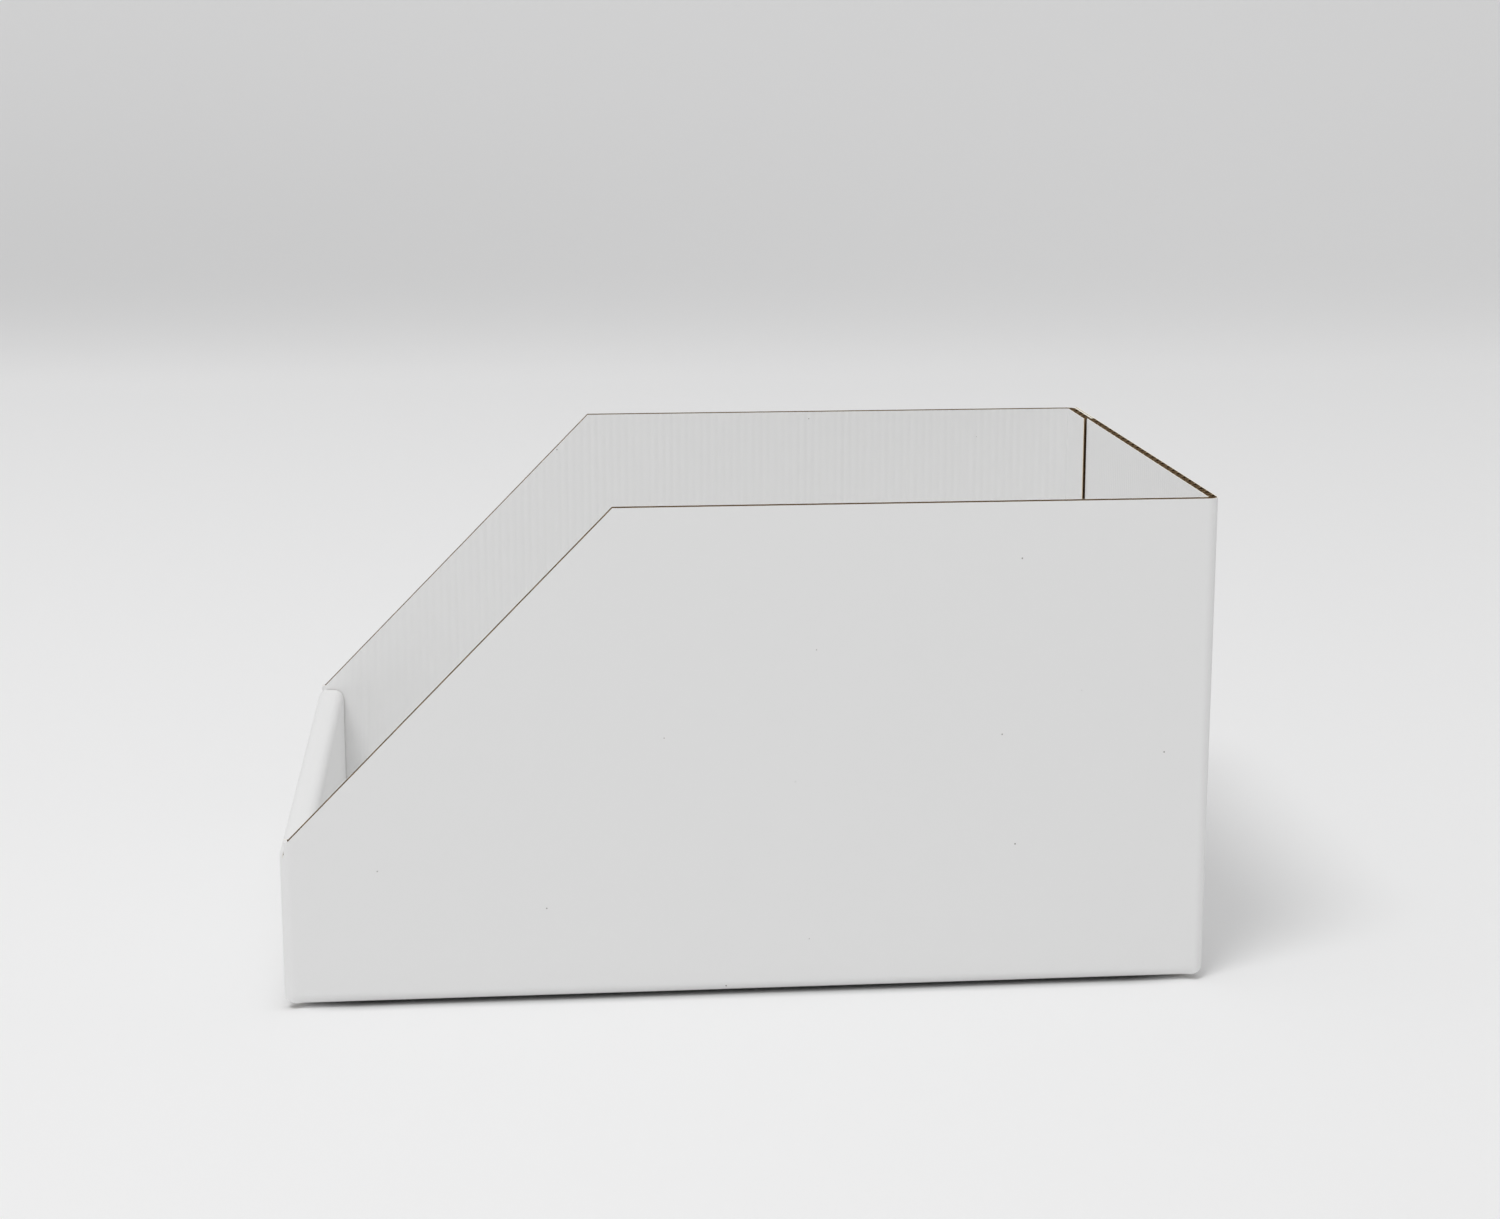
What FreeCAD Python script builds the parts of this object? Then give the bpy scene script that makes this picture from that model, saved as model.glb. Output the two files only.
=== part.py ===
import FreeCAD, Part
import math
import os

# The bin is folded and glued from one blank of corrugated board. It stands on its bottom flaps, with
# the low rolled front towards -Y, the near side towards +X and the origin under its middle.
# Sizes are in millimetres and measured over the outside of the board.
length = 280.0
width = 200.0
height = 150.5

# The board is two flat liners with a wavy medium between them. Its flutes stand upright in the walls.
board = 3.0
liner = 0.25
medium = 0.3
flute_pitch = 6.9
flute_depth = 8.0
end_margin = 0.4
open_edge_depth = 1.6

# Outer radius of the board at the upright and rolled folds, and at the folds of the bottom flaps.
fold_radius = 3.3
flap_radius = 3.3

# Each side panel has a level top edge from the back, then a slope down to the front.
level_top = 180.5
slope_setback = 2.7
slope_foot = 52.2

# The front wall rolls over at its top and comes down again inside, one gap behind the outer wall.
front_height = 50.5
roll_gap = 3.0
roll_clearance = 0.4
roll_foot_clearance = 0.3

# A slit in each upright fold parts the roll from the front corner of the side panel.
slit_setback = 1.4
slit_width = 0.3
slit_foot = 48.0

# The glue tab is hinged on the far side and lies crushed against the inside of the back.
tab_board = 1.2
tab_length = 29.2
tab_foot_clearance = 1.5
glue_line = 0.15

# Bottom flaps: the outer pair is hinged on the sides and the inner pair on the front and back.
# The inner pair is glued to a level seat along each outer flap's fold. From the seat the outer flap
# sags, so the bin stands on the middle of its bottom and its side folds are a sag above the ground.
flap_length = 100.0
meeting_gap = 1.0
flap_clearance = 0.3
sag = 1.2
seat_width = 10.0
sag_run = 20.0
sag_radius = 50.0

# A slot with a slanting end parts the flaps at each corner. It rises by these from the side folds.
slot_width = 5.3
slot_end_setback = 0.9
slot_end_rise = 1.95
slot_toe_rise = 0.2

# A cut runs past the board by this much, so that no sliver is left.
overrun = 1.0

side_outer = width / 2
side_inner = side_outer - board
end_outer = length / 2
end_inner = end_outer - board
fold_inner = fold_radius - board
flap_inner = flap_radius - board
tab_face = end_inner - tab_board
tab_end = tab_length - side_outer
roll_start = front_height - fold_radius
roll_edge = side_inner - roll_clearance
slit_front = slit_setback - end_outer - slit_width
end_lift = sag + board
floor_top = end_lift + board
side_bend_top = sag + flap_radius
end_bend_top = end_lift + flap_radius
slot_end_height = sag + slot_end_rise
inner_flap_edge = side_outer - flap_radius - flap_clearance

Vector = FreeCAD.Vector
AXIS_X = Vector(1, 0, 0)
AXIS_Y = Vector(0, 1, 0)
AXIS_Z = Vector(0, 0, 1)


def corner_arc(before, corner, after, radius):
    """Start, middle and end of the arc that rounds one corner of an outline."""
    back = (before - corner).normalize()
    ahead = (after - corner).normalize()
    half_angle = back.getAngle(ahead) / 2
    run = radius / math.tan(half_angle)
    bisector = (back + ahead).normalize()
    centre = corner + bisector * (radius / math.sin(half_angle))
    return corner + back * run, centre - bisector * radius, corner + ahead * run


def outline(corners):
    """Closed wire through corners of (point, radius). A radius of 0 leaves the corner sharp."""
    pieces = []
    for index, (corner, radius) in enumerate(corners):
        before = corners[index - 1][0]
        after = corners[(index + 1) % len(corners)][0]
        if radius > 0:
            pieces.append(corner_arc(before, corner, after, radius))
        else:
            pieces.append((corner, None, corner))
    edges = []
    for index, (start, middle, end) in enumerate(pieces):
        previous_end = pieces[index - 1][2]
        if previous_end.distanceToPoint(start) > 1e-6:
            edges.append(Part.LineSegment(previous_end, start).toShape())
        if middle is not None:
            edges.append(Part.Arc(start, middle, end).toShape())
    return Part.Wire(Part.__sortEdges__(edges))


def sharp(points):
    """The same points as corners with no radius."""
    return [(point, 0) for point in points]


def prism(corners, travel):
    """Solid swept straight from a flat outline."""
    return Part.Face(outline(corners)).extrude(travel)


def block(low, high):
    """Box between its lowest and highest corners."""
    size = high - low
    return Part.makeBox(size.x, size.y, size.z, low)


def medium_face(share, wave_height):
    """Height of the medium's surface over the board's middle, at a share of the pitch from the trough."""
    turn = 2 * math.pi * share
    slope = wave_height * 2 * math.pi / flute_pitch * math.sin(turn)
    return medium / 2 * math.hypot(1, slope) - wave_height * math.cos(turn)


def same_point(point):
    """The point itself, where the raw edge is level and needs no shift."""
    return point


def side_edge(point):
    """The point of a side panel's raw edge above or below the given one."""
    rise = (height - slope_foot) / (length - level_top - slope_setback)
    on_slope = slope_foot + (point.y + end_outer - slope_setback) * rise
    return Vector(point.x, point.y, min(height, on_slope))


def flutes(start, along, across, run, thickness, inward, edge=same_point):
    """Cutters for the open flutes at a raw edge, on both sides of the medium, over a run of board."""
    liner_face = thickness / 2 - liner
    wave_height = liner_face - medium / 2
    mouth, shoulder, trough = 0.43, 0.25, 0.09
    half_outline = [
        (mouth, liner_face),
        (shoulder, medium_face(shoulder, wave_height)),
        (trough, medium_face(trough, wave_height)),
    ]
    mirrored = [(-share, rise) for share, rise in reversed(half_outline)]
    half_pitch = flute_pitch / 2
    spare = run - 2 * end_margin - 2 * mouth * flute_pitch
    steps = int(spare / half_pitch)
    first = (run - steps * half_pitch) / 2
    cutters = []
    for step in range(steps + 1):
        centre = edge(start + along * (first + step * half_pitch)) - inward * flute_pitch
        facing = across if step % 2 else across * -1
        waves = [(along * (share * flute_pitch), facing * rise) for share, rise in half_outline + mirrored]
        points = [centre + shift + lift for shift, lift in waves]
        cutters.append(prism(sharp(points), inward * (flute_pitch + flute_depth)))
    return cutters


def open_edge(liner_side, inward, across, thickness):
    """Corners of a raw edge cut along a flute: two liners with the open flute between them."""
    depth = inward * open_edge_depth
    near_lip = liner_side + across * liner
    far_lip = liner_side + across * (thickness - liner)
    far_side = liner_side + across * thickness
    return sharp([liner_side, near_lip, near_lip + depth, far_lip + depth, far_lip, far_side])


def wall_strip():
    """The four walls and the glue tab, folded round but not yet trimmed."""
    foot = slot_end_height
    tab_bend_end = fold_radius - side_outer
    outer = [
        (Vector(side_outer, end_outer, foot), fold_radius),
        (Vector(side_outer, -end_outer, foot), fold_radius),
        (Vector(-side_outer, -end_outer, foot), fold_radius),
        (Vector(-side_outer, end_inner - glue_line, foot), fold_radius),
        (Vector(tab_bend_end, end_inner - glue_line, foot), 0),
        (Vector(tab_bend_end, end_inner, foot), 0),
    ] + open_edge(Vector(-side_outer, end_inner, foot), AXIS_X, AXIS_Y, board)
    inner = [
        (Vector(side_inner, end_inner, foot), fold_inner),
        (Vector(side_inner, -end_inner, foot), fold_inner),
        (Vector(-side_inner, -end_inner, foot), fold_inner),
        (Vector(-side_inner, tab_face, foot), fold_inner),
    ] + open_edge(Vector(tab_end, tab_face, foot), AXIS_X * -1, AXIS_Y, tab_board)
    section = Part.Face(outline(outer)).cut(Part.Face(outline(inner)))
    return section.extrude(AXIS_Z * (height - foot))


def wall_flutes():
    """Cutters for the open flutes along the raw top edges of the sides, the back and the tab."""
    down = AXIS_Z * -1
    cutters = []
    side_run = length - 2 * fold_radius
    for middle in (side_outer - board / 2, board / 2 - side_outer):
        start = Vector(middle, fold_radius - end_outer, 0)
        cutters += flutes(start, AXIS_Y, AXIS_X, side_run, board, down, side_edge)
    back_start = open_edge_depth - side_outer
    back_run = side_outer - fold_radius - back_start
    start = Vector(back_start, end_outer - board / 2, height)
    cutters += flutes(start, AXIS_X, AXIS_Y, back_run, board, down)
    tab_start = fold_radius - side_outer
    start = Vector(tab_start, end_inner - tab_board / 2, height)
    tab_run = tab_end - open_edge_depth - tab_start
    return cutters + flutes(start, AXIS_X, AXIS_Y, tab_run, tab_board, down)


def side_profile_cuts():
    """Everything above the slope of the side panels, the slits and the round top of the roll."""
    above = height + overrun
    slit = slit_setback - end_outer
    profile = [
        (slit_front, slit_foot),
        (slit, slit_foot),
        (slit, slope_foot),
        (slope_setback - end_outer, slope_foot),
        (end_outer - level_top, height),
        (end_outer - level_top, above),
        (slit_front, above),
    ]
    x = -side_outer - overrun
    across = AXIS_X * (width + 2 * overrun)
    beyond = Vector(x, -end_outer - overrun, roll_start)
    round_top = [
        (Vector(x, -end_outer, 0), 0),
        (Vector(x, -end_outer, front_height), fold_radius),
        (Vector(x, 0, front_height), 0),
        (Vector(x, 0, 0), 0),
    ]
    waste = block(beyond, Vector(-x, slit_front, above)).cut(prism(round_top, across))
    return [prism(sharp([Vector(x, y, z) for y, z in profile]), across), waste]


def foot_cuts():
    """Room for the roll, the bends of the flaps and the foot of the tab."""
    wall = board + overrun
    low = -overrun
    bend_end = end_outer - slot_end_setback
    tab_foot = end_bend_top + tab_foot_clearance
    cuts = [
        block(Vector(-side_inner, slit_front, roll_start), Vector(side_inner, -end_inner, height)),
        block(Vector(-roll_edge, -end_outer - overrun, roll_start), Vector(roll_edge, slit_front, height)),
        block(Vector(fold_radius - side_outer, tab_face, low), Vector(tab_end, end_inner, tab_foot)),
    ]
    for x in (-side_outer - overrun, side_inner):
        cuts.append(block(Vector(x, -bend_end, low), Vector(x + wall, bend_end, side_bend_top)))
    for y in (-end_outer - overrun, end_inner):
        cuts.append(block(Vector(-inner_flap_edge, y, low), Vector(inner_flap_edge, y + wall, end_bend_top)))
    return cuts


def walls():
    """Front, back, both sides and the glue tab, as one folded strip."""
    return wall_strip().cut(side_profile_cuts() + foot_cuts() + wall_flutes())


def bend(hinge, inward, lift, travel):
    """Quarter bend from a wall down into its flap, swept along the hinge."""
    outer_top = hinge + AXIS_Z * (lift + flap_radius)
    inner_top = outer_top + inward * board
    corners = [
        (outer_top, 0),
        (hinge + AXIS_Z * lift, flap_radius),
        (hinge + inward * flap_radius + AXIS_Z * lift, 0),
        (hinge + inward * flap_radius + AXIS_Z * (lift + board), 0),
        (hinge + inward * board + AXIS_Z * (lift + board), flap_inner),
        (inner_top, 0),
    ]
    return prism(corners, travel)


def slot_ends():
    """Slanting end of the slot at each corner, cut right across both sides."""
    cuts = []
    for end in (-1, 1):
        profile = [
            (end_outer + overrun, -overrun),
            (end_outer - slot_width, -overrun),
            (end_outer - slot_width, sag + slot_toe_rise),
            (end_outer - slot_end_setback, slot_end_height),
            (end_outer + overrun, slot_end_height),
        ]
        points = [Vector(-side_outer - overrun, end * y, z) for y, z in profile]
        cuts.append(prism(sharp(points), AXIS_X * (width + 2 * overrun)))
    return cuts


def sagging_layer(side, start, low, high):
    """Outline of a layer of an outer flap, between two depths in its board, at its start along Y."""
    bend_end = side_outer - flap_radius
    knee = bend_end - seat_width
    path = [
        (bend_end, sag, 0),
        (knee, sag, sag_radius),
        (knee - sag_run, 0, sag_radius),
        (meeting_gap / 2, 0, 0),
    ]
    under = [(Vector(side * x, start, z + low), radius) for x, z, radius in path]
    over = [(Vector(side * x, start, z + high), radius) for x, z, radius in reversed(path)]
    return under + over


def outer_flap(side):
    """Bottom flap hinged on a side panel, level at its seat and then sagging to the ground."""
    bend_start = slot_end_setback - end_outer
    hinge = Vector(side * side_outer, bend_start, 0)
    curve = bend(hinge, AXIS_X * -side, sag, AXIS_Y * (-2 * bend_start))
    start = slot_width - end_outer
    flap = prism(sagging_layer(side, start, 0, board), AXIS_Y * (-2 * start))
    grooves = []
    for groove_start in (start, -start - open_edge_depth):
        groove = sagging_layer(side, groove_start, liner, board - liner)
        grooves.append(prism(groove, AXIS_Y * open_edge_depth))
    return curve.cut(slot_ends()).fuse(flap.cut(grooves))


def inner_flap(end):
    """Bottom flap hinged on the front or back, lying on the outer flaps."""
    hinge = Vector(-inner_flap_edge, end * end_outer, 0)
    inward = AXIS_Y * -end
    curve = bend(hinge, inward, end_lift, AXIS_X * (2 * inner_flap_edge))
    reach = flap_length - flap_radius
    corner = Vector(-inner_flap_edge, end * (end_outer - flap_radius), end_lift)
    section = open_edge(corner, AXIS_X, AXIS_Z, board)
    section += open_edge(corner + AXIS_X * (2 * inner_flap_edge) + AXIS_Z * board, -AXIS_X, -AXIS_Z, board)
    run = 2 * (inner_flap_edge - open_edge_depth)
    start = corner + inward * reach + AXIS_X * open_edge_depth + AXIS_Z * (board / 2)
    flap = prism(section, inward * reach).cut(flutes(start, AXIS_X, AXIS_Z, run, board, inward * -1))
    return curve.fuse(flap)


def rolled_front():
    """The part of the front wall that rolls over its top and comes down inside."""
    foot = floor_top + roll_foot_clearance
    outer_y = -end_outer
    gap_y = -end_inner
    inner_y = gap_y + roll_gap
    room_y = inner_y + board
    x = -roll_edge
    corners = [
        (Vector(x, outer_y, roll_start), 0),
        (Vector(x, outer_y, front_height), fold_radius),
        (Vector(x, room_y, front_height), fold_radius),
        (Vector(x, room_y, foot), 0),
        (Vector(x, inner_y, foot), 0),
        (Vector(x, inner_y, front_height - board), fold_inner),
        (Vector(x, gap_y, front_height - board), fold_inner),
        (Vector(x, gap_y, roll_start), 0),
    ]
    return prism(corners, AXIS_X * (2 * roll_edge))


def folded_bin():
    """The whole blank, folded up and glued."""
    flaps = [outer_flap(side) for side in (-1, 1)] + [inner_flap(end) for end in (-1, 1)]
    return walls().fuse(flaps + [rolled_front()]).removeSplitter()


os.makedirs("parts", exist_ok=True)
solid = folded_bin().Solids[0]
solid.exportStep("parts/folded_bin.step")
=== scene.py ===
import math

import bpy
import numpy as np
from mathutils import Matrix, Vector


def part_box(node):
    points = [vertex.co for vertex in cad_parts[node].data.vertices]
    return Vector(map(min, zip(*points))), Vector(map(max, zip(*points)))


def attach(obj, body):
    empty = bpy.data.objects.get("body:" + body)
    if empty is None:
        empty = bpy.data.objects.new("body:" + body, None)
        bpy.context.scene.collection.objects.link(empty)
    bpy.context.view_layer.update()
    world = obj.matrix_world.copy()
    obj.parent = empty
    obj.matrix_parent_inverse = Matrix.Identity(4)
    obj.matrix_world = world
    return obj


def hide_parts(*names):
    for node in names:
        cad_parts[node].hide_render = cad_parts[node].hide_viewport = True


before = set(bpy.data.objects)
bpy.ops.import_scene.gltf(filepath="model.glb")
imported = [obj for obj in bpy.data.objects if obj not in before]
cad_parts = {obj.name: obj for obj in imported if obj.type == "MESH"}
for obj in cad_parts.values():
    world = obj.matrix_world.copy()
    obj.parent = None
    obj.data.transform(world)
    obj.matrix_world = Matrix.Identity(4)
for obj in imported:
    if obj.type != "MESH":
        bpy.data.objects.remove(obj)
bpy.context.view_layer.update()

# The blank: one sheet of corrugated board, cut with slots between its bottom flaps, then folded up.
# A point of it is u along the walls from the glue tab to the back, v up the walls, and w into the
# board from its outside, all in metres. The walls, the flaps and the rolled front are that one sheet.
lowest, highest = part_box("folded_bin")
half_width = highest.x
half_length = highest.y
height = highest.z
board = 0.003
liner = 0.00025
quarter = math.pi / 2

fold_radius = 0.0033
fold_length = fold_radius * quarter
glue_gap = 0.00005

# Where the back is glued over the tab it is crushed. The two together are as thick as in the solid.
# crushed_papers are the places of the papers' four faces in it, as shares of its thickness. It sets in
# over crush_run along u, and over the heights crush_foot.
tab_length = 0.0292
crushed_board = 0.0012
crushed_papers = [0, 0.42, 0.58, 1]
crush_run = 0.0003
crush_foot = (0.0078, 0.0090)
tab_flat = tab_length - fold_radius
far_flat = 2 * half_length - crushed_board - glue_gap - 2 * fold_radius
front_flat = 2 * half_width - 2 * fold_radius
near_flat = 2 * half_length - 2 * fold_radius
back_flat = 2 * half_width - fold_radius

# Places along u where the panels and the upright folds between them start and end.
far_start = tab_flat + fold_length
far_end = far_start + far_flat
front_start = far_end + fold_length
front_end = front_start + front_flat
near_start = front_end + fold_length
near_end = near_start + near_flat
back_start = near_end + fold_length
back_end = back_start + back_flat

# The slope of the sides, the slit in each front fold and the lip of the roll in front of it. The
# places on a fold are lengths round it from the side panel's flat part. A step is the least length
# between two corners, and least_turn the least angle that counts as a turn.
level_top = 0.1805
slope_top = 2 * half_length - level_top
slope_setback = 0.0027
slope_foot = 0.0522
slit_foot = 0.0480
slit_back = 0.00203
slit_front = 0.00241
lip_share = 0.97
lip_end = fold_length * lip_share
roll_start = 0.0472
roll_edge = 0.0001
roll_flat = 0.0024
roll_drop = 0.0397
step = 0.00001
least_turn = 0.001


def side_top(panel_edge, away):
    """Corners of a side panel's top line, from its front fold at panel_edge going away from it."""
    return [
        (panel_edge + away * (slope_top - fold_radius), height),
        (panel_edge - away * (fold_radius - slope_setback), slope_foot),
        (panel_edge - away * slit_back, slope_foot),
        (panel_edge - away * (slit_back + step), slit_foot),
        (panel_edge - away * (slit_front - step), slit_foot),
        (panel_edge - away * slit_front, roll_start),
    ]


top_line = [(0, height)] + side_top(far_end, -1) + side_top(near_start, 1)[::-1] + [(back_end, height)]

# The bottom sags, so the side folds are a little above the ground and the end folds a board higher.
# Each flap is set in from the ends of its panel, and its bend fades out over a ramp beside it.
sag = 0.0012
seat_width = 0.010
sag_run = 0.020
sag_radius = 0.050
slot_end = 0.00315
side_shoulder = 0.00047
slot_toe = -0.0012
tab_foot = 0.009
side_inset = 0.0020
side_ramp = 0.0047
end_inset = 0.0003
end_ramp = 0.0015
flaps = [
    (far_start + side_inset, far_end - side_inset, side_ramp, side_shoulder),
    (front_start + end_inset, front_end - end_inset, end_ramp, slot_end),
    (near_start + side_inset, near_end - side_inset, side_ramp, side_shoulder),
    (back_start + end_inset, back_end - fold_radius - end_inset, end_ramp, slot_end),
]
bottom_line = [(0, tab_foot), (tab_flat, tab_foot), (tab_flat + step, slot_end)]
for start, end, ramp, shoulder in flaps:
    bottom_line += [(start - ramp, slot_end), (start - step, shoulder), (start, slot_toe)]
    bottom_line += [(end, slot_toe), (end + step, shoulder), (end + ramp, slot_end)]


def walk(distance, start, heading, stretches):
    """Point and heading at a distance along a path of straight runs and bends.

    Each stretch is (length, turn). It adds its travel up to that distance: along the heading where it
    is straight, and round an arc of radius length / turn where it bends.
    """
    across = np.full(distance.shape, float(start[0]))
    up = np.full(distance.shape, float(start[1]))
    angle = np.full(distance.shape, float(heading))
    passed = 0.0
    for length, turn in stretches:
        part = np.clip(distance - passed, 0, length)
        if turn:
            radius = length / turn
            swept = part / radius
            across += radius * (np.sin(angle + swept) - np.sin(angle))
            up -= radius * (np.cos(angle + swept) - np.cos(angle))
            angle += swept
        else:
            across += part * np.cos(angle)
            up += part * np.sin(angle)
        passed += length
    return across, up, angle


def mixed(share, first, second):
    """first + share times the way to second: first where share is 0, second where it is 1."""
    return first + share * (second - first)


def bottom_path(inner):
    """Hinge height and stretches of a bottom flap's outside: down the wall, round and inwards.

    An inner flap goes straight in on top of the outer ones. An outer flap is level along its seat,
    goes down the sag between two wide bends, and lies flat on the ground from there.
    """
    hinge = fold_radius + sag
    if inner:
        return hinge + board + glue_gap, [(fold_length, quarter), (half_width, 0)]
    slope = math.atan2(sag, sag_run)
    corner = sag_radius * math.tan(slope / 2)
    descent = math.hypot(sag, sag_run)
    stretches = [(fold_length, quarter), (seat_width - corner, 0), (sag_radius * slope, -slope)]
    stretches += [(descent - 2 * corner, 0), (sag_radius * slope, slope), (half_width, 0)]
    return hinge, stretches


def fold(u, v, w):
    """Where the blank's point (u, v, w) lies once the bin is folded.

    In plan the walls follow a path that turns left at each upright fold, and w is measured inwards
    from it. Below its hinge a flap follows its own path down, round and inwards. Above its hinge the
    front follows a path up, over and down again. Beside a slot the flap's bend fades out. Above the
    roll's hinge the end of a side panel keeps its thickness along X, as the slit leaves it straight.
    Over the tab w is pressed together to the thickness of the crushed back.
    """
    plan = [(tab_flat, 0), (fold_length, quarter), (far_flat, 0), (fold_length, quarter), (front_flat, 0)]
    plan += [(fold_length, quarter), (near_flat, 0), (fold_length, quarter), (back_flat, 0)]
    tab_end = (tab_length - half_width, half_length - crushed_board - glue_gap)
    x, y, heading = walk(u, tab_end, math.pi, plan)

    crush_start = back_end - tab_length - crush_run
    pressed_flat = crushed_board * np.interp(w, [0, liner, board - liner, board], crushed_papers)
    crushed = np.interp(u, [crush_start, crush_start + crush_run], [0, 1]) * np.interp(v, crush_foot, [0, 1])
    w = mixed(crushed, w, pressed_flat)
    depth, rise = w, v
    for start, end, ramp, shoulder in flaps:
        hinge, stretches = bottom_path(shoulder == slot_end)
        down, out, angle = walk(hinge - v, (0, hinge), -quarter, stretches)
        bent_depth = down - w * np.sin(angle)
        bent_rise = out + w * np.cos(angle)
        share = np.interp(u, [start - ramp, start, end, end + ramp], [0, 1, 1, 0]) * (v < hinge)
        depth = mixed(share, depth, bent_depth)
        rise = mixed(share, rise, bent_rise)
    roll = [(fold_length, -quarter), (roll_flat, 0), (fold_length, -quarter), (roll_drop, 0)]
    over, up, angle = walk(v - roll_start, (0, roll_start), quarter, roll)
    between_slits = (u > far_end + slit_front - step / 2) & (u < near_start - slit_front + step / 2)
    rolled = (v > roll_start) & between_slits
    depth = np.where(rolled, over + w * np.sin(angle), depth)
    rise = np.where(rolled, up - w * np.cos(angle), rise)

    inward = np.stack([-np.sin(heading), np.cos(heading)])
    edge = np.abs(x) - (half_width - fold_radius)
    straight = np.clip((v - roll_start) / (slit_foot - roll_start), 0, 1) * (y < 0) * ~rolled
    thickness_left = np.minimum(edge + fold_radius - board, board) / board
    along_x = np.stack([-np.sign(x) * thickness_left, np.zeros(x.shape)])
    turned = np.abs(heading % math.pi - quarter) > least_turn
    ended = straight * turned * (y < fold_radius - half_length)
    inward = mixed(ended, inward, along_x)
    return np.stack([x + depth * inward[0], y + depth * inward[1], rise], axis=-1)


# Where the grid over the blank has its rows, as shares of each flap, of the wall's middle and top, and
# of the roll. round_off allows for the rounding of the places that are compared.
fold_margin = 0.0003
band_top = 0.012
inner_flap = 0.0967
outer_flap = 0.09624
inner_flap_end = fold_radius + sag + board + glue_gap - fold_length - inner_flap
outer_flap_end = fold_radius + sag - fold_length - outer_flap
flap_shares = np.array([0, 0.02, 0.1, 0.3, 0.5, 0.6, 0.65, 0.68, 0.7, 0.73, 0.8, 0.87, 0.89, 0.92, 0.96, 1.0])
middle_shares = np.array([0.3, 0.7, 1.0])
wall_shares = np.array([0, 0.1, 0.3, 0.5, 0.7, 0.85, 0.95, 1.0])
roll_shares = np.array([0, 0.02, 0.2, 0.5, 0.8, 0.98, 1.0])
round_off = 1e-9
least_rise = 1e-7
sharp_angle = math.radians(35)


def spread(corners, spacing):
    """Values through all the corners, in order, with even steps of at most spacing between them.

    A run between two corners is cut into its length over spacing, rounded up, unless it is over a whole
    number of steps by less than a millionth of one.
    """
    corners = np.unique(np.round(corners, 8))
    runs = []
    for first, last in zip(corners[:-1], corners[1:]):
        count = max(1, math.ceil((last - first) / spacing - 1e-6))
        runs.append(np.linspace(first, last, count, endpoint=False))
    return np.append(np.concatenate(runs), corners[-1])


def blank_grid(spacing, fold_steps, band_steps, roll_spacing):
    """Grid of u and v over the blank.

    Rows go from the flaps' free ends up to the slots, up the walls to their top line, and over the
    roll. Columns pass through every corner of the top and bottom lines and closer together at folds.
    A row that adds nothing to a column repeats the height of the row below it.
    """
    folds = [(tab_flat, far_start), (far_end, front_start), (front_end, near_start), (near_end, back_start)]
    corners = [u for u, v in top_line + bottom_line]
    corners += [back_end - tab_length - crush_run, back_end - tab_length]
    corners += [front_start + roll_edge - step, front_start + roll_edge]
    corners += [front_end - roll_edge, front_end - roll_edge + step]
    for start, end in folds:
        corners += list(np.linspace(start, end, fold_steps + 1))
        corners += [start - fold_margin, end + fold_margin]
    u = spread(corners, spacing)
    foot = np.interp(u, *zip(*bottom_line))
    top = np.interp(u, *zip(*top_line))

    flap_end = foot.copy()
    for start, end, _, shoulder in flaps:
        here = (u >= start - round_off) & (u <= end + round_off)
        flap_end[here] = inner_flap_end if shoulder == slot_end else outer_flap_end
    flap_rows = flap_end[:, None] + (foot - flap_end)[:, None] * flap_shares
    band_shares = np.linspace(0, 1, band_steps + 1)[1:]
    low_rows = foot[:, None] + (band_top - foot)[:, None] * band_shares
    middle_rows = band_top + (roll_start - band_top) * middle_shares + 0 * foot[:, None]
    slit_rows = np.minimum(top, slit_foot)[:, None]
    high_rows = slit_rows + (top[:, None] - slit_rows) * wall_shares[1:]

    bend_travel = spread([0, lip_end, fold_length], roll_spacing)
    over_travel = spread([fold_length, fold_length + roll_flat, 2 * fold_length + roll_flat], roll_spacing)
    drop_travel = over_travel[-1] + roll_drop * roll_shares[1:]
    travel = np.concatenate([bend_travel, over_travel[1:], drop_travel])
    in_roll = (u >= front_start + roll_edge - round_off) & (u <= front_end - roll_edge + round_off)
    in_lip = (u >= far_end + slit_front - round_off) & (u <= near_start - slit_front + round_off)
    reach = np.where(in_roll, travel[-1], np.where(in_lip, lip_end, 0))
    roll_rows = top[:, None] + np.minimum(travel[1:], reach[:, None])
    v = np.concatenate([flap_rows, low_rows, middle_rows, slit_rows, high_rows, roll_rows], axis=1)
    return np.broadcast_to(u[:, None], v.shape), v


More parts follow.
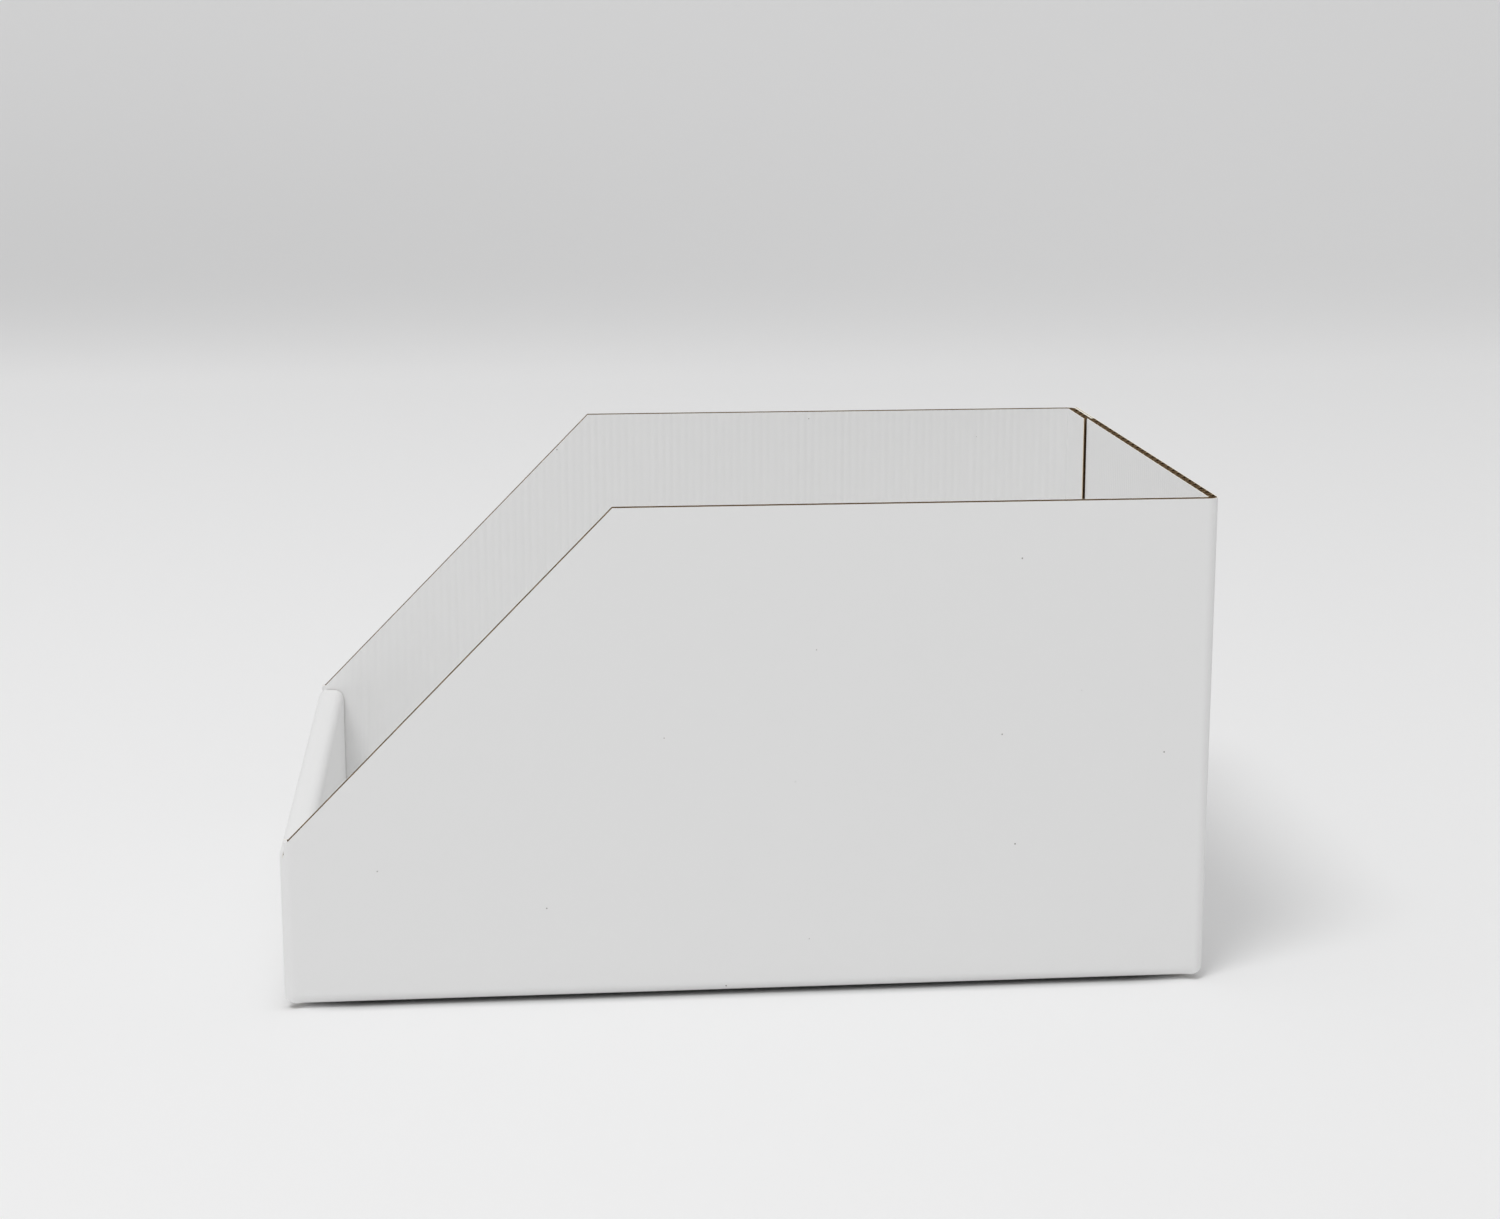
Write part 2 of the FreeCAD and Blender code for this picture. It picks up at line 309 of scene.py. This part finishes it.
def paper(name, u, v, near, far, glued="far"):
    """Closed mesh of one paper of the board, between the depths near and far of its two faces.

    Cells lie between neighbouring columns that both rise at that row, and their corners are the latest
    points that rose. They are laid once at each depth, and a rim of quads joins the two layers along
    every edge that only one cell has. Attribute inside is 1 on the glued face and 0 on the other one.
    """
    rises = np.diff(v, axis=1) > least_rise
    risen = np.pad(rises, ((0, 0), (1, 0)), constant_values=True)
    latest = np.maximum.accumulate(np.where(risen, np.arange(v.shape[1]), 0), axis=1)
    index = latest + v.shape[1] * np.arange(len(v))[:, None]
    cells = rises[:-1] & rises[1:]
    quads = np.stack([index[:-1, :-1], index[1:, :-1], index[1:, 1:], index[:-1, 1:]], axis=-1)[cells]
    edges = np.concatenate([quads[:, [k, (k + 1) % 4]] for k in range(4)])
    key = edges.min(axis=1) * v.size + edges.max(axis=1)
    single = np.unique(key, return_index=True, return_counts=True)
    rim = edges[single[1][single[2] == 1]]
    sides = np.stack([rim[:, 1], rim[:, 0], rim[:, 0] + v.size, rim[:, 1] + v.size], axis=-1)
    faces = np.concatenate([quads, quads[:, ::-1] + v.size, sides])
    used, faces = np.unique(faces, return_inverse=True)
    faces = faces.reshape(-1, 4)

    points = np.concatenate([fold(u, v, near).reshape(-1, 3), fold(u, v, far).reshape(-1, 3)])[used]
    flat = np.stack([np.tile(u.ravel(), 2), np.tile(v.ravel(), 2)], axis=-1)[used]
    mesh = bpy.data.meshes.new(name)
    mesh.vertices.add(len(points))
    mesh.vertices.foreach_set("co", points.ravel())
    mesh.loops.add(faces.size)
    mesh.loops.foreach_set("vertex_index", faces.ravel())
    mesh.polygons.add(len(faces))
    mesh.polygons.foreach_set("loop_start", np.arange(0, faces.size, 4))
    mesh.update(calc_edges=True)
    mesh.uv_layers.new(name="blank").data.foreach_set("uv", flat[faces.ravel()].ravel())
    inside = mesh.attributes.new("inside", "FLOAT", "POINT")
    inside.data.foreach_set("value", ((used >= v.size) == (glued == "far")).astype(np.float32))
    mesh.shade_smooth()
    mesh.set_sharp_from_angle(angle=sharp_angle)
    mesh.validate()
    piece = bpy.data.objects.new(name, mesh)
    bpy.context.scene.collection.objects.link(piece)
    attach(piece, "root")
    return piece


# The outer liner: the white paper on the outside of the board, which carries the folds' soft rounding.
# It also shows on the rolled front and its inner side, and its raw edge is cream. At the front end of
# each side panel it is pressed over the board's core.


class Shade:
    """A shader socket that takes part in Python sums. Each operator adds its Math node."""

    def __init__(self, tree, socket=None):
        self.tree = tree
        self.socket = socket

    def node(self, kind, settings=None, output=0, **inputs):
        """Adds a node of that kind, sets its settings, fills its inputs and returns one output."""
        made = self.tree.nodes.new(kind)
        for name, value in (settings or {}).items():
            setattr(made, name, value)
        for name, value in inputs.items():
            place = made.inputs[int(name[1:])] if name[1:].isdigit() else made.inputs[name.replace("_", " ")]
            if isinstance(value, Shade):
                self.tree.links.new(value.socket, place)
            else:
                place.default_value = value
        return Shade(self.tree, made.outputs[output])

    def math(self, operation, first, second=0.0):
        """Adds a Math node of that operation and returns its value."""
        return self.node("ShaderNodeMath", {"operation": operation}, i0=first, i1=second)

    def __add__(self, other):
        return self.math("ADD", self, other)

    __radd__ = __add__

    def __sub__(self, other):
        return self.math("SUBTRACT", self, other)

    def __rsub__(self, other):
        return self.math("SUBTRACT", other, self)

    def __mul__(self, other):
        return self.math("MULTIPLY", self, other)

    __rmul__ = __mul__

    def __lt__(self, other):
        return self.math("LESS_THAN", self, other)

    def __gt__(self, other):
        return self.math("GREATER_THAN", self, other)

    def __abs__(self):
        return self.math("ABSOLUTE", self)

    def between(self, low, high):
        """0 up to low, 1 from high, and smooth between them."""
        settings = {"interpolation_type": "SMOOTHSTEP"}
        return self.node("ShaderNodeMapRange", settings, i0=self, i1=low, i2=high, i3=0.0, i4=1.0)

    def blend(self, first, second):
        """Colour that is first where this is 0 and second where it is 1."""
        made = self.tree.nodes.new("ShaderNodeMix")
        made.data_type = "RGBA"
        for place, value in ((0, self), (6, first), (7, second)):
            if isinstance(value, Shade):
                self.tree.links.new(value.socket, made.inputs[place])
            else:
                made.inputs[place].default_value = value
        return Shade(self.tree, made.outputs[2])


def surface(name, roughness):
    """A new material with its shader and a Shade to build its inputs with."""
    material = bpy.data.materials.new(name)
    material.use_nodes = True
    shader = material.node_tree.nodes["Principled BSDF"]
    shader.inputs["Roughness"].default_value = roughness
    return material, shader, Shade(material.node_tree)


def connect(shader, **inputs):
    """Joins values to the shader's inputs by name."""
    for name, value in inputs.items():
        shader.id_data.links.new(value.socket, shader.inputs[name.replace("_", " ")])


# The pressed end starts this far round the fold from the side panel's flat part.
end_start = 0.0007


def at_panel_end(u, v, low):
    """Whether points are on the front end of a side panel, past its flat part, and above a height."""
    past_flat = np.where(u < (front_start + front_end) / 2, u - far_end, near_start - u)
    return (past_flat > end_start) & (past_flat < slit_back + step / 2) & (v > low)


liner_grid = blank_grid(spacing=0.004, fold_steps=10, band_steps=22, roll_spacing=0.0007)
pressed = at_panel_end(*liner_grid, slope_foot - step) * (board - 2 * liner)
outer_liner = paper("outer_liner", *liner_grid, pressed, pressed + liner)
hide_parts("folded_bin")


# The paper's marks, in millimetres on the blank, with speck_radius in cells of their pattern, and its
# colours. Attribute inside is between edge_starts and edge_ends on a raw edge.
line_spacing = 2.72
speck_scale = 0.022
speck_radius = 0.0055
speck_strength = 0.75
fibre_share = 0.02
cloud_share = 0.03
mottling = 0.03
warmth = 0.002
fibre_relief = 0.012
raw_edge = (0.97, 0.93, 0.82, 1)
glued_face = (0.17, 0.10, 0.042, 1)
speck_brown = (0.12, 0.10, 0.08, 1)
edge_starts, edge_ends = 0.001, 0.999


def white_paper(name, ripple, brightness):
    """White liner paper, with its fibres' mottling, a few dark specks and a cream raw edge.

    ripple is the height of the faint lines that run up the board over its flutes, line_spacing
    millimetres apart. The paper is mixed between a dull and a clean white, which lie below and above
    its brightness by mottling, by a share of the noise of its fibres and of broad clouds. A speck is a
    spot round a random point, where the distance is less than the point's own random radius.
    """
    material, shader, shade = surface(name, roughness=0.7)
    flat = shade.node("ShaderNodeUVMap", {"uv_map": "blank"})
    millimetres = shade.node("ShaderNodeVectorMath", {"operation": "SCALE"}, i0=flat, Scale=1000.0)
    on_sheet = {"noise_dimensions": "2D"}
    fibres = shade.node("ShaderNodeTexNoise", on_sheet, Vector=millimetres, Scale=0.9, Detail=4.0)
    clouds = shade.node("ShaderNodeTexNoise", on_sheet, Vector=millimetres, Scale=0.05, Detail=3.0)
    tone = fibres * fibre_share + clouds * cloud_share
    dull, clean = brightness - mottling, brightness + mottling
    white = tone.blend((dull, dull, dull - warmth, 1), (clean, clean, clean - warmth, 1))

    speck_places = {"voronoi_dimensions": "2D"}
    distance = shade.node("ShaderNodeTexVoronoi", speck_places, Vector=millimetres, Scale=speck_scale)
    chance = shade.node("ShaderNodeTexVoronoi", speck_places, output=1, Vector=millimetres, Scale=speck_scale)
    size = shade.node("ShaderNodeSeparateColor", output=0, Color=chance)
    speck = (distance < size * speck_radius) * speck_strength
    speckled = speck.blend(white, speck_brown)

    inside = shade.node("ShaderNodeAttribute", {"attribute_name": "inside"}, output=2)
    edged = (inside > edge_starts).blend(speckled, raw_edge)
    connect(shader, Base_Color=(inside > edge_ends).blend(edged, glued_face))

    u = shade.node("ShaderNodeSeparateXYZ", output=0, Vector=millimetres)
    lines = shade.math("SINE", u * (2 * math.pi / line_spacing))
    strength = shade.node("ShaderNodeTexNoise", {"noise_dimensions": "1D"}, W=u, Scale=0.12, Detail=2.0)
    relief = lines * strength * ripple + fibres * fibre_relief
    connect(shader, Normal=shade.node("ShaderNodeBump", Height=relief, Distance=0.001, Strength=0.6))
    return material


outer_liner.data.materials.append(white_paper("white_outside", ripple=0.0, brightness=0.888))

# The medium: brown paper pressed into upright waves and glued between the liners. It is seen only at
# the raw edges, as a dark core crossed by the waves. At the front end of each side panel it stops
# end_drop under the foot of the slope, as the outer liner is pressed over it there.
medium = 0.0002
end_drop = 0.0006
flute_pitch = 0.0069
wave_height = (board - medium) / 2 - liner
end_height = slope_foot - end_drop
u, v = blank_grid(spacing=flute_pitch / 8, fold_steps=8, band_steps=8, roll_spacing=0.002)
v = np.where(at_panel_end(u, v, end_height), end_height, v)
wave = board / 2 + wave_height * np.cos(2 * math.pi * u / flute_pitch)
fluted_medium = paper("fluted_medium", u, v, wave - medium / 2, wave + medium / 2)
dark_fibre = (0.14, 0.083, 0.034, 1)
light_fibre = (0.25, 0.155, 0.07, 1)
cut_edge = (0.46, 0.33, 0.19, 1)


def brown_paper():
    """Brown fluting paper: a noise mixes darker and lighter fibres, and its cut edge is paler."""
    material, shader, shade = surface("brown_fluting", roughness=0.85)
    place = shade.node("ShaderNodeTexCoord", output=3)
    fibres = shade.node("ShaderNodeTexNoise", Vector=place, Scale=900.0, Detail=4.0)
    brown = fibres.blend(dark_fibre, light_fibre)
    inside = shade.node("ShaderNodeAttribute", {"attribute_name": "inside"}, output=2)
    cut = (inside > edge_starts) * (inside < edge_ends)
    connect(shader, Base_Color=cut.blend(brown, cut_edge))
    return material


fluted_medium.data.materials.append(brown_paper())

# The inner liner: the white paper on the inside of the board, where the flutes show through it as
# faint upright lines.
inner_liner = paper("inner_liner", *liner_grid, board - liner, board, glued="near")
# Painted light: the inner paper is a little brighter than the outer paper, to lighten the inside of the bin.
inner_liner.data.materials.append(white_paper("white_inside", ripple=0.12, brightness=0.93))

# The floor and backdrop: one pale sheet that runs away behind the bin and curves up into a wall. The
# wall is painted greyer than the floor, more so on the left and low down: painted shade where less light
# falls on it. Under the bin the floor is painted darker, a painted shadow which deepens the shadow in the
# gap under the bin's sides. Each pair is where a change starts and ends.
floor_near = 4.0
cove_start = 1.35
cove_radius = 0.9
wall_top = 0.25
floor_half_width = 5.0
cove_steps = 24
wall_begins = (1.37, 1.70)
wall_pales = (1.72, 2.15)
left_to_right = (-0.6, 0.9)
shade_beside = (0.093, 0.104)
shade_along = (0.116, 0.137)
floor_pale = (0.925, 0.925, 0.927, 1)
wall_shade_left = (0.75, 0.75, 0.752, 1)
wall_shade_right = (0.82, 0.82, 0.822, 1)
wall_painted_light = (0.90, 0.90, 0.902, 1)
wall_pale_share = 0.55
painted_shadow_under_bin = (0.28, 0.28, 0.28, 1)


def backdrop_mesh():
    """Sheet swept across X: flat floor, a quarter bend and a wall, as one profile along its length."""
    profile = [(floor_near + cove_start, 0), (cove_radius * quarter, -quarter), (wall_top, 0)]
    length = sum(part for part, turn in profile)
    cove = np.linspace(floor_near + cove_start, length - wall_top, cove_steps + 1)
    travel = np.concatenate([[0, floor_near], cove, [length]])
    x, z = walk(travel, (floor_near, 0), math.pi, profile)[:2]
    side = np.array([-floor_half_width, floor_half_width])
    points = np.stack([np.repeat(x, 2), np.tile(side, travel.size), np.repeat(z, 2)], axis=-1)
    first = np.arange(travel.size - 1) * 2
    faces = np.stack([first + 1, first, first + 2, first + 3], axis=-1)
    mesh = bpy.data.meshes.new("backdrop")
    mesh.from_pydata(points.tolist(), [], faces.tolist())
    mesh.shade_smooth()
    return mesh


backdrop = bpy.data.objects.new("backdrop", backdrop_mesh())
bpy.context.scene.collection.objects.link(backdrop)
material, shader, shade = surface("pale_sweep", roughness=0.9)
place = shade.node("ShaderNodeTexCoord", output=3)
away = shade.node("ShaderNodeSeparateXYZ", output=0, Vector=place)
across = shade.node("ShaderNodeSeparateXYZ", output=1, Vector=place)
# Painted shade: the wall is greyer than the floor, more so on the left, and paler higher up.
wall = across.between(*left_to_right).blend(wall_shade_left, wall_shade_right)
wall = ((away * -1).between(*wall_pales) * wall_pale_share).blend(wall, wall_painted_light)
pale = (away * -1).between(*wall_begins).blend(floor_pale, wall)
# Painted shadow: the floor is darker right under the bin.
painted_shadow_mask = (1 - abs(away).between(*shade_beside)) * (1 - abs(across).between(*shade_along))
connect(shader, Base_Color=painted_shadow_mask.blend(pale, painted_shadow_under_bin))
shader.inputs["Specular IOR Level"].default_value = 0.1
backdrop.data.materials.append(material)

# The light: a white studio dome, brighter overhead than at the horizon, and one large round soft lamp
# above the camera's left. Where the camera sees the dome itself, it sees an even pale backdrop.
horizon = (0.42, 0.42, 0.42, 1)
zenith = (0.707, 0.707, 0.707, 1)
seen_backdrop = (0.80, 0.80, 0.80, 1)
world = bpy.context.scene.world or bpy.data.worlds.new("studio")
bpy.context.scene.world = world
world.use_nodes = True
sky = Shade(world.node_tree)
direction = sky.node("ShaderNodeTexCoord", output=0)
overhead = sky.node("ShaderNodeSeparateXYZ", output=2, Vector=direction).between(0.0, 1.0)
dome = world.node_tree.nodes["Background"]
glow = overhead.blend(horizon, zenith)
seen = sky.node("ShaderNodeLightPath").blend(glow, seen_backdrop)
world.node_tree.links.new(seen.socket, dome.inputs["Color"])
dome.inputs["Strength"].default_value = 1.0
lamp_distance = 3.4
lamp_light = 0.96
lamp_half_angle = math.radians(10.25)
lamp = bpy.data.lights.new("key", "AREA")
lamp.shape = "DISK"
lamp.size = 2 * lamp_distance * math.tan(lamp_half_angle)
lamp.energy = lamp_light * math.pi * lamp_distance**2
key = bpy.data.objects.new("key", lamp)
to_lamp = Vector((0.355, -0.293, 0.887))
key.location = to_lamp * lamp_distance
key.rotation_euler = to_lamp.to_track_quat("Z", "Y").to_euler()
bpy.context.scene.collection.objects.link(key)

# The camera stands beside the near side, a little in front of its middle, and looks slightly down. Its
# place, turns and lens are the ones fitted to the object's straight edges.
yaw = math.radians(5.427)
pitch = math.radians(12.049)
view = Vector((-math.cos(pitch) * math.cos(yaw), math.cos(pitch) * math.sin(yaw), -math.sin(pitch)))
lens = bpy.data.cameras.new("camera")
lens.sensor_width = 36.0
lens.lens = 65.158
lens.clip_end = 50.0
camera = bpy.data.objects.new("camera", lens)
camera.location = (0.8780, -0.0742, 0.28645)
camera.rotation_euler = view.to_track_quat("-Z", "Y").to_euler()
bpy.context.scene.collection.objects.link(camera)
bpy.context.scene.camera = camera
bpy.context.scene.view_settings.view_transform = "Standard"
